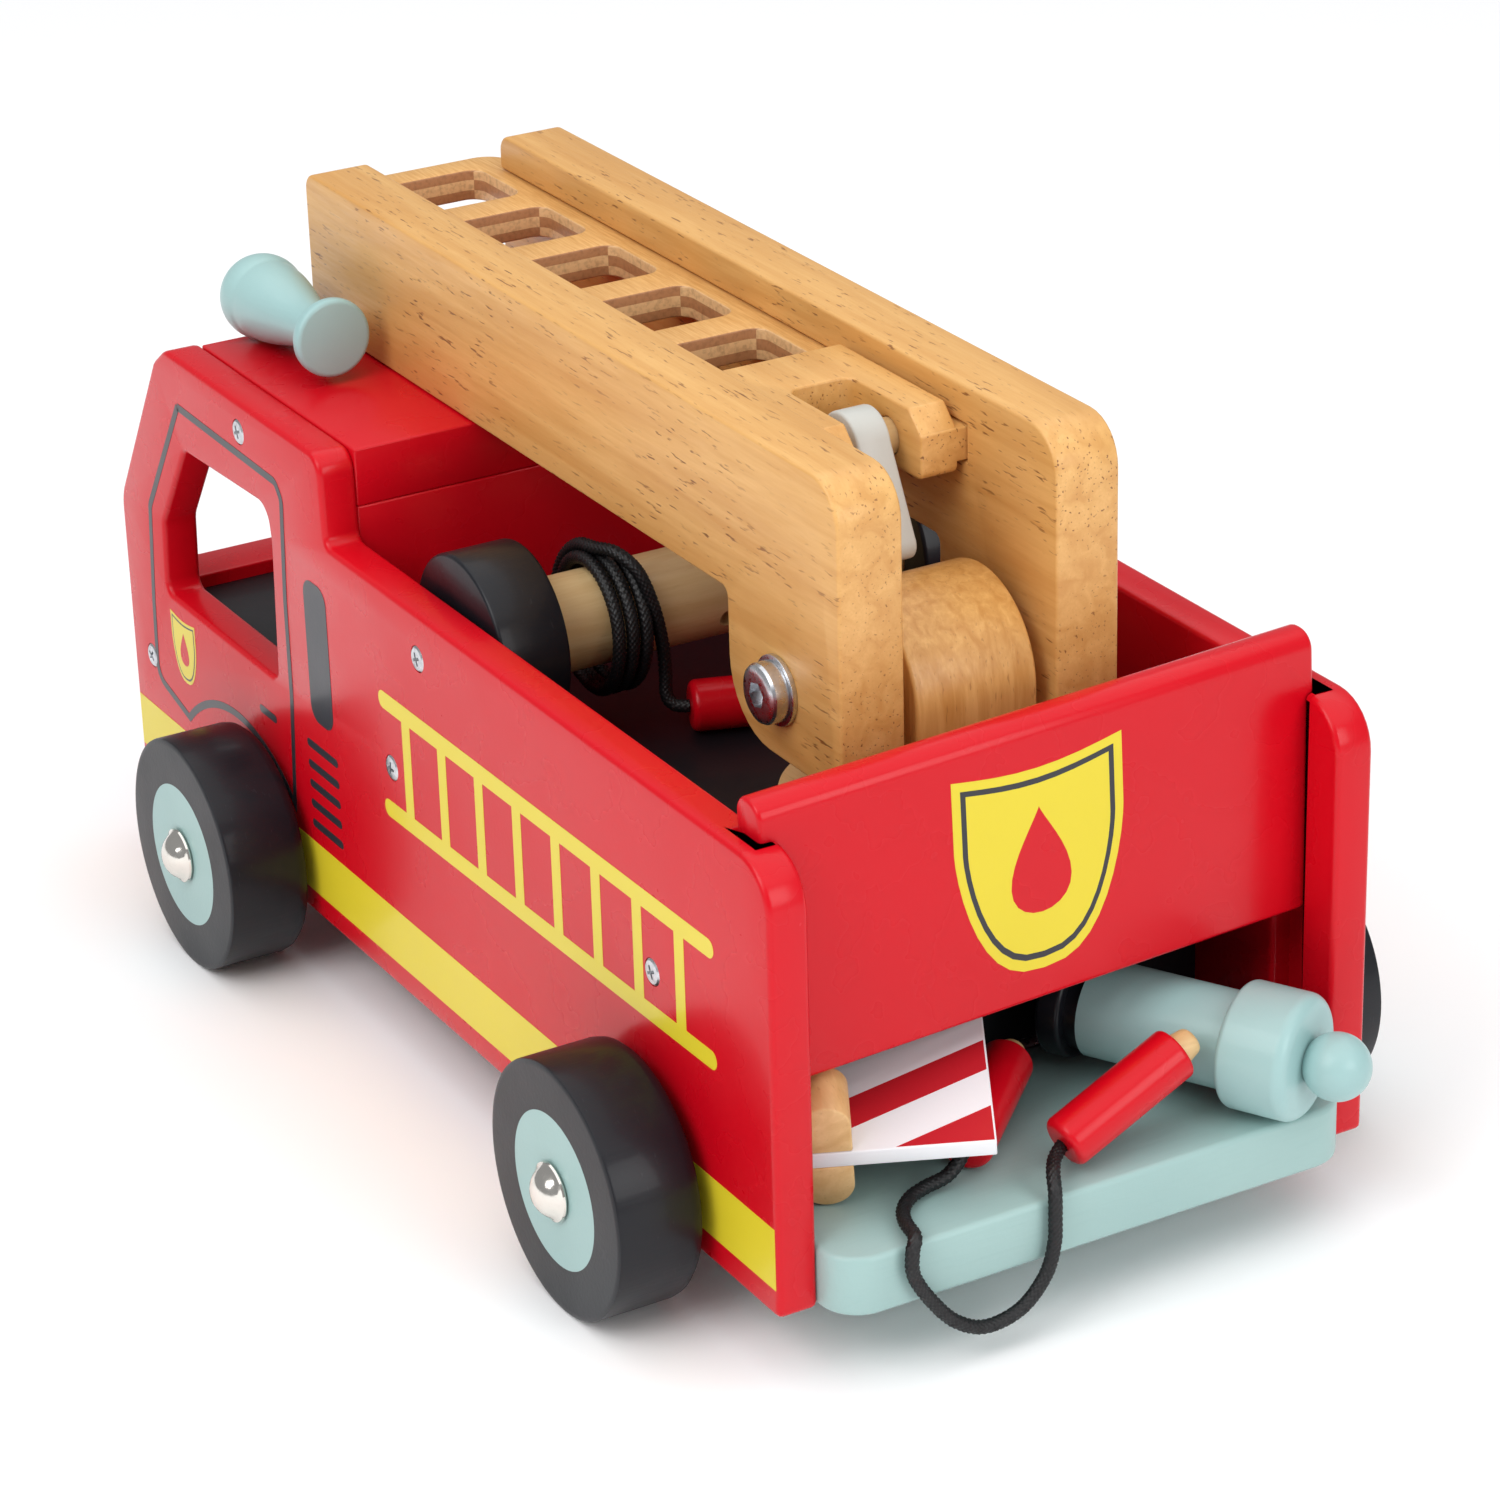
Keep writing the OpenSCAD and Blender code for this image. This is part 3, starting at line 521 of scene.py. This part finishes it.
def braid(name, route, node, stands_for):
    """A braided cord along a route in the engine's millimetres."""
    line, length = evenly(smooth_route(route), RING_GAP)
    bm = bmesh.new()
    rings = []
    side = None
    for i, here in enumerate(line):
        way = (line[min(i + 1, len(line) - 1)] - line[max(i - 1, 0)]).normalized()
        side = (side or Vector((0.3, 0.2, 1)))
        side = (side - way * side.dot(way)).normalized()
        other = way.cross(side)
        along = 2 * math.pi * i * RING_GAP / STRAND_PITCH
        ring = []
        for k in range(CORD_SIDES):
            angle = 2 * math.pi * k / CORD_SIDES
            weave = math.sin(STRANDS * angle / 2 + along) * math.sin(STRANDS * angle / 2 - along)
            radius = CORD_R * (GROOVE_R + STRAND_RISE * abs(weave) ** 0.7)
            spot = here + radius * (math.cos(angle) * side + math.sin(angle) * other)
            ring.append(bm.verts.new(at(*spot)))
        rings.append(ring)
    for a, b in zip(rings, rings[1:]):
        for k in range(CORD_SIDES):
            n = (k + 1) % CORD_SIDES
            bm.faces.new((a[k], b[k], b[n], a[n]))
    bm.faces.new(rings[0])
    bm.faces.new(rings[-1][::-1])
    obj = piece(name, bm, [cord_black], body_of(node), stands_for, 70)


HOSE_A, HOSE_B = (-1, 5, 36), (8.8, 22, 35.8)
HOSE_ROUTE = [
    HOSE_A, (-3.5, 8.5, 35.2), (-7.5, 11.5, 34.6), (-10.5, 13, 32), (-11.2, 13.4, 27),
    (-11.2, 13.6, 21), (-11.2, 15.8, 14.2), (-11.2, 21.7, 8.4), (-11.2, 30, 7), (-11.2, 37, 10.5),
    (-11.2, 42.6, 17), (-11.2, 46.6, 24), (-11.2, 46.9, 29.3), (-10.4, 45.8, 31.5), (-8.5, 45, 31.9),
    (-4, 44, 31.8), (0.5, 41.8, 31.7), (4, 38, 31.7), (5.6, 33.4, 31.9), (5.4, 28.6, 33),
    (6.4, 24.9, 34.9), HOSE_B]
REEL_END = (132.4, 14, 84.8)
REEL_TAIL = [
    (149, 27, 119.4), (142.5, 25.5, 120.2), (137.5, 23, 117), (135.5, 20.5, 109), (135.5, 18.6, 100),
    (136, 17.8, 92), (135.6, 18, 87.4), (134.2, 16.8, 85.2), REEL_END]
REEL_X, REEL_Z = 149, 103.7
COIL_TURNS, COIL_PITCH, COIL_STEP = 3.2, 3.4, 24
COIL_WIDE_AT, COIL_WIDE_Y, COIL_END_Y = 250, 30.0, 27.0    # degrees from the end, and places across
COIL_IN_R, COIL_OUT, COIL_SAG = 11.2, 3.6, 1.6               # as it leaves the dowel, then further out
COIL_OUT_OVER = 100                                          # degrees
COIL_LIFT, LIFT_FROM, LIFT_OVER = 2.6, 170, 90               # the last turn lies over the others


def coil_route():
    """The loose turns on the dowel, from where the cord comes out of it to the top of the last turn."""
    made = []
    steps = round(COIL_TURNS * 360 / COIL_STEP)
    for i in range(steps):
        left = (steps - i) * COIL_STEP
        angle = math.radians(left)
        start_in = min(1, i * COIL_STEP / COIL_OUT_OVER)
        lift = max(0, min(1, (LIFT_FROM - left) / LIFT_OVER))
        radius = COIL_IN_R + COIL_OUT * start_in + COIL_LIFT * lift
        if left > COIL_WIDE_AT:
            y = COIL_WIDE_Y - COIL_PITCH * (left - COIL_WIDE_AT) / 360
        else:
            y = COIL_END_Y + (COIL_WIDE_Y - COIL_END_Y) * left / COIL_WIDE_AT
        made.append((REEL_X + radius * math.sin(angle), y,
                     REEL_Z - COIL_SAG * start_in + radius * math.cos(angle)))
    return made


for node in ("reel_nozzle", "hose_nozzle_a", "hose_nozzle_b"):
    soften(node, 0, red_across)
    soften(node + "_tip", 0, bare_y)

braid("hose_cord_braid", HOSE_ROUTE, "hose_cord", ["hose_cord"])
braid("reel_cord_braid", coil_route() + REEL_TAIL, "reel_cord", ["reel_cord", "reel_cord_coil"])

# ---------------------------------------------------------------- painted body

SCREWS = [(237, 127.6), (300.2, 49.3), (165.4, 71.6), (47.6, 72.6), (36.2, 22.7)]
REEL_SCREW = (REEL_X, REEL_Z)
FLUSH = SCREWS + [REEL_SCREW, (51, 27.75), (235.5, 27.75)]

for node in ("left_side_panel", "right_side_panel"):
    soften(node, 1.3, red, FLUSH)
soften("tailgate", 1.0, red_across)
soften("cab_roof", 0.5, red_across)
soften("cab_rear_wall", 0.5, red_across)
soften("front_panel", 0.6, red_across)
for node in ("cab_floor", "compartment_wall", "bed_floor"):
    soften(node, 0.4, dark)
soften("lower_deck", 1.3, pale_across, SCREWS)

# ---------------------------------------------------------------- prints

STRIPE = [(1.0, 22.3), (250, 22), (310.8, 22), (310.8, 35.5), (250, 35.5), (1.0, 36.2)]
PILL = rounded([(195.2, 68, 4), (206.8, 68, 4), (206.8, 103, 4), (195.2, 103, 4)])
DOOR = [(271.9, 122.7, 3), (293.8, 90.8, 4), (296.5, 65.2, 3), (297.6, 45, 5)]
ARCH_CENTRE, ARCH_R = Vector((249.5, 8.4)), 44.0
ARCH_FROM, ARCH_TO, ARCH_STEPS = 46.7, 132.2, 24
DOOR_REAR = [(217.5, 68.4, 6), (217.3, 93.2, 6), (215.5, 118.2, 3), (218.3, 121.6, 2.5),
             (271.9, 122.7, 0)]
LADDER_X = (22, 170)
RUNG_X = [36 + k * 17.3 for k in range(8)]
RUNG_W = 3.9
LADDER_RAILS = ((61.4, 65.6, 58.8, 63.0), (86.1, 90.3, 85.1, 89.3))    # low and high at the rear and front
LADDER_ENDS = 2.0
DOOR_LINE_W = 1.9
VENT_X, VENT_HALF = (194.3, 210.3), 1.0
VENT_Z = (61, 55.7, 50.7, 45.7, 40.6)
HANDLE_X, HANDLE_Z = (227, 236.3), 59.6
DASH_CORNER = 0.9


def arch():
    """The door line's curve over the front wheel."""
    angles = [ARCH_FROM + (ARCH_TO - ARCH_FROM) * k / ARCH_STEPS for k in range(ARCH_STEPS + 1)]
    return [ARCH_CENTRE + ARCH_R * Vector((math.cos(math.radians(a)), math.sin(math.radians(a))))
            for a in angles]


def door_line():
    """The door's outline: down the front, over the wheel and up the rear."""
    front = rounded([(*DOOR[0][:2], 0)] + DOOR[1:] + [(*arch()[0], 0)])
    rear = rounded([(*arch()[-1], 0)] + DOOR_REAR)
    return front + arch()[1:] + rear[1:]


def shield(width, height):
    """A plain shield, centred, with a slightly hollow top edge and a pointed foot."""
    half = width / 2
    top = [Vector((half * (1 - 2 * k / 8), height * (0.5 - 0.05 * math.sin(math.pi * k / 8))))
           for k in range(9)]
    left = [Vector((-half * math.cos(math.radians(90 * k / 10)) ** 0.75,
                    height * (0.16 - 0.66 * math.sin(math.radians(90 * k / 10)) ** 1.35)))
            for k in range(10)]
    right = [Vector((-p.x, p.y)) for p in left[::-1]]
    return top + left + [Vector((0, -0.5 * height))] + right


def drop(width, height):
    """A water drop, centred, its point upwards."""
    points = []
    for k in range(28):
        t = 2 * math.pi * k / 28
        swell = math.sin(t / 2) ** 1.4
        points.append(Vector((width / 2 * math.sin(t) * swell * 1.25, height / 2 * math.cos(t))))
    return points


def badge(bm, centre, width, height, place):
    """A shield with a border line and a drop, in the slots yellow, charcoal and red."""
    shift = Vector(centre)
    for scale, depth, slot in ((1.0, 0.06, 0), (0.9, 0.08, 1), (0.84, 0.10, 0)):
        outline = [p * scale + shift for p in shield(width, height)]
        slab(bm, outline, place, depth, slot=slot)
    slab(bm, [p + shift + Vector((0, 0.02 * height)) for p in drop(width * 0.4, height * 0.5)], place,
         0.12, slot=2)


def dash(rear, front, z):
    """A short line with rounded ends."""
    low, high = z - VENT_HALF, z + VENT_HALF
    return rounded([(rear, low, DASH_CORNER), (front, low, DASH_CORNER), (front, high, DASH_CORNER),
                    (rear, high, DASH_CORNER)], 3)


def side_prints(node, sign):
    """The ladder, stripe, door line, vents and badge on one side panel."""
    place = Matrix.Translation(Vector((REAR_X, sign * OUTER_Y, 0))) @ Matrix((
        (1, 0, 0), (0, 0, sign), (0, 1, 0))).to_4x4()
    bm = bmesh.new()
    slab(bm, STRIPE, place)
    for low_rear, high_rear, low_front, high_front in LADDER_RAILS:
        slab(bm, rounded([(LADDER_X[0], low_rear, LADDER_ENDS), (LADDER_X[1], low_front, LADDER_ENDS),
                          (LADDER_X[1], high_front, LADDER_ENDS), (LADDER_X[0], high_rear, LADDER_ENDS)]),
             place)
    for x in RUNG_X:
        share = (x - LADDER_X[0]) / (LADDER_X[1] - LADDER_X[0])
        low, high = 65.2 - 2.6 * share, 86.5 - 1.0 * share
        slab(bm, [(x - RUNG_W / 2, low), (x + RUNG_W / 2, low), (x + RUNG_W / 2, high),
                  (x - RUNG_W / 2, high)], place, thick=0.055)
    slab(bm, PILL, place, slot=1)
    slab(bm, stroke(door_line(), DOOR_LINE_W), place, slot=1, thick=0.07)
    for z in VENT_Z:
        slab(bm, dash(*VENT_X, z), place, slot=1)
    slab(bm, dash(*HANDLE_X, HANDLE_Z), place, slot=1)
    badge(bm, (279.5, 58), 14, 17, place)
    piece(node + "_prints", bm, [yellow, charcoal, red], "truck")


side_prints("left_side_panel", 1)
side_prints("right_side_panel", -1)

GATE_TILT = 2.3
gate_low, gate_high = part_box("tailgate")
gate_place = (Matrix.Translation(Vector((gate_low.x, 0, (gate_low.z + gate_high.z) / 2)))
              @ Matrix.Rotation(math.radians(-GATE_TILT), 4, "X")
              @ Matrix(((0, 0, -1), (-1, 0, 0), (0, 1, 0))).to_4x4())
bm = bmesh.new()
badge(bm, (-2, -0.5), 40, 47, gate_place)
piece("tailgate_badge", bm, [yellow, charcoal, red_across], "tailgate")

# ---------------------------------------------------------------- screws and bolt

HEAD_PROUD = 0.15


def phillips(centre, out, turn):
    """A cross-head screw's head, its cross turned by so many degrees."""
    place = facing(centre, out, (1, 0, 0)) @ Matrix.Rotation(math.radians(turn), 4, "Z")
    head = bmesh.new()
    lathe(head, [(0, HEAD_PROUD + 0.25), (1.6, HEAD_PROUD + 0.2), (2.5, HEAD_PROUD + 0.05),
                 (2.9, HEAD_PROUD - 0.25), (2.9, -1.7), (0, -1.7)], place, sides=40)
    arm, half = 1.9, 0.42
    cross = [(arm, -half), (arm, half), (half, half), (half, arm), (-half, arm), (-half, half),
             (-arm, half), (-arm, -half), (-half, -half), (-half, -arm), (half, -arm), (half, -half)]
    cutter = bmesh.new()
    prism(cutter, cross, place, HEAD_PROUD - 1.0, HEAD_PROUD + 1.0, 0.55)
    return carved(head, cutter)


def gather(parts):
    """One mesh from several."""
    whole = bmesh.new()
    for part in parts:
        mesh = bpy.data.meshes.new("part")
        part.to_mesh(mesh)
        part.free()
        whole.from_mesh(mesh)
        bpy.data.meshes.remove(mesh)
    return whole


def heads(name, node, places):
    """Cross-head screws on both side panels, each with its cross at its own angle."""
    parts = []
    for sign in (1, -1):
        for i, (x, z) in enumerate(places):
            parts.append(phillips(at(x, sign * OUTER_Y / MM, z), (0, sign, 0), 23 + 31 * i))
    piece(name, gather(parts), [zinc], "truck", [node], 25)


heads("panel_screw_heads", "panel_screws", SCREWS)
heads("reel_screw_heads", "reel_pivot_screws", [REEL_SCREW])

BOLT = (60, 120.5)
BOLT_HEAD_T = 4.2
bolt_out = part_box("pivot_bolt")[1].y / MM
head_place = facing(at(BOLT[0], bolt_out - BOLT_HEAD_T, BOLT[1]), (0, 1, 0), (1, 0, 0))
head = bmesh.new()
lathe(head, [(0, BOLT_HEAD_T), (4.6, 4.15), (5.4, 4.0), (6.1, 3.6), (6.45, 3.0), (6.5, 2.2), (6.5, 0.4),
             (6.3, 0.0), (4.0, 0.0), (4.0, -34), (0, -34)], head_place)
HEX_R, HEX_TURN = 2.9, 12
hexagon = [(HEX_R * math.cos(math.radians(60 * k + HEX_TURN)),
            HEX_R * math.sin(math.radians(60 * k + HEX_TURN))) for k in range(6)]
cutter = bmesh.new()
prism(cutter, hexagon, head_place, 1.6, 5.5)
piece("pivot_bolt_finish", carved(head, cutter), [zinc], "ladder", ["pivot_bolt"], 25)
soften("pivot_bolt_nut", 0.4, zinc)
soften("pivot_washers", 0.15, zinc)
soften("turntable_screw", 0, zinc)

# ---------------------------------------------------------------- ladder and turntable

for node in ("ladder_rail_left", "ladder_rail_right"):
    soften(node, 0.8, honey)
soften("sliding_ladder", 0.5, ply)
soften("ladder_tail_block", 0.6, honey)
soften("ladder_spacer_bar", 0.3, bare_y)
soften("catch_dowel", 0.5, bare_y)
soften("ladder_catch", 0.7, grey)
soften("turntable_disc", 0.8, bare_x)
soften("pivot_block", 0.8, honey_turned)

# ---------------------------------------------------------------- wheels and reel

HUB_R = 17.0
CAP_AT = 20.3                               # the cap's inner face, from the wheel's inner face
WHEEL_PROFILE = [(3.1, 0), (24.6, 0), (26.4, 0.5), (27.4, 1.6), (27.75, 3.2), (27.75, 19.2), (27.6, 19.7),
                 (27.1, 19.95), (26.4, 20), (HUB_R, 20), (3.1, 20), (3.1, 0)]
WHEEL_SLOTS = [0, 0, 0, 0, 0, 0, 0, 0, 0, 1, 0]
CAP_PROFILE = [(0, 4.5), (1.2, 4.38), (2.5, 4.0), (3.7, 3.35), (4.7, 2.45), (5.4, 1.5), (5.9, 1.15),
               (6.35, 0.85), (6.5, 0.4), (6.3, 0.02), (0, 0.02)]
caps = bmesh.new()
for node in ("front_left_wheel", "front_right_wheel", "rear_left_wheel", "rear_right_wheel"):
    low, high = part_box(node)
    sign = 1 if low.y > 0 else -1
    middle = (low + high) / 2
    inner_y = low.y if sign > 0 else high.y
    place = facing(Vector((middle.x, inner_y, middle.z)), (0, sign, 0), (1, 0, 0))
    bm = bmesh.new()
    lathe(bm, WHEEL_PROFILE, place, WHEEL_SLOTS, 96)
    piece(node + "_finish", bm, [black, pale_across], node, [node], 30)
    cap_y = inner_y + sign * CAP_AT * MM
    cap_place = facing(Vector((middle.x, cap_y, middle.z)), (0, sign, 0), (1, 0, 0))
    lathe(caps, CAP_PROFILE, cap_place, sides=48)
piece("axle_caps_finish", caps, [nickel], "truck", ["axle_caps"], 30)
for node in ("front_axle", "rear_axle", "wheel_washers"):
    soften(node, 0, zinc)
for node in ("reel_disc_left", "reel_disc_right"):
    soften(node, 0.9, black)
soften("reel_dowel", 0, bare_y)

# ---------------------------------------------------------------- horn, hydrant and sign

soften("horn", 0, pale)
soften("horn_peg", 0, bare_x)
for node in ("hydrant_ball", "hydrant_collar", "hydrant_barrel"):
    soften(node, 0, pale)
soften("hydrant_base", 0, black)

SIGN_CORNER, SIGN_TURN, SIGN_ROLL, SIGN_TILT = (-6.3, 23.9, 42), 61.5, 2.6, -18
SIGN_SIZE, SIGN_T = 40, 4.2
soften("sign_board", 0.35, white)
soften("sign_foot", 0.5, bare_x)


def clipped(outline, a, b, c):
    """The part of an outline where a*u + b*v >= c."""
    made = []
    for i, here in enumerate(outline):
        after = outline[(i + 1) % len(outline)]
        one, two = a * here.x + b * here.y - c, a * after.x + b * after.y - c
        if one >= 0:
            made.append(here)
        if (one >= 0) != (two >= 0):
            made.append(here.lerp(after, one / (one - two)))
    return made


sign_place = (Matrix.Translation(at(*SIGN_CORNER)) @ Matrix.Rotation(math.radians(SIGN_TURN), 4, "Z")
              @ Matrix.Rotation(math.radians(SIGN_ROLL), 4, "Y")
              @ Matrix.Rotation(math.radians(SIGN_TILT), 4, "X")
              @ Matrix.Translation(Vector((0, 0, SIGN_T * MM))))
bm = bmesh.new()
SLOPE = 0.47
EDGE = 0.4
STRIPES = ((-1, 9.8), (19.7, 27.8), (37.7, 45.8), (55.7, 60))
for low, high in STRIPES:
    face = [Vector(p) for p in ((EDGE, -SIGN_SIZE + EDGE), (SIGN_SIZE - EDGE, -SIGN_SIZE + EDGE),
                                (SIGN_SIZE - EDGE, -EDGE), (EDGE, -EDGE))]
    face = clipped(face, SLOPE, -1, low)
    face = clipped(face, -SLOPE, 1, -high)
    slab(bm, face, sign_place, thick=0.04)
piece("sign_stripes", bm, [stripe_red], "road_sign")
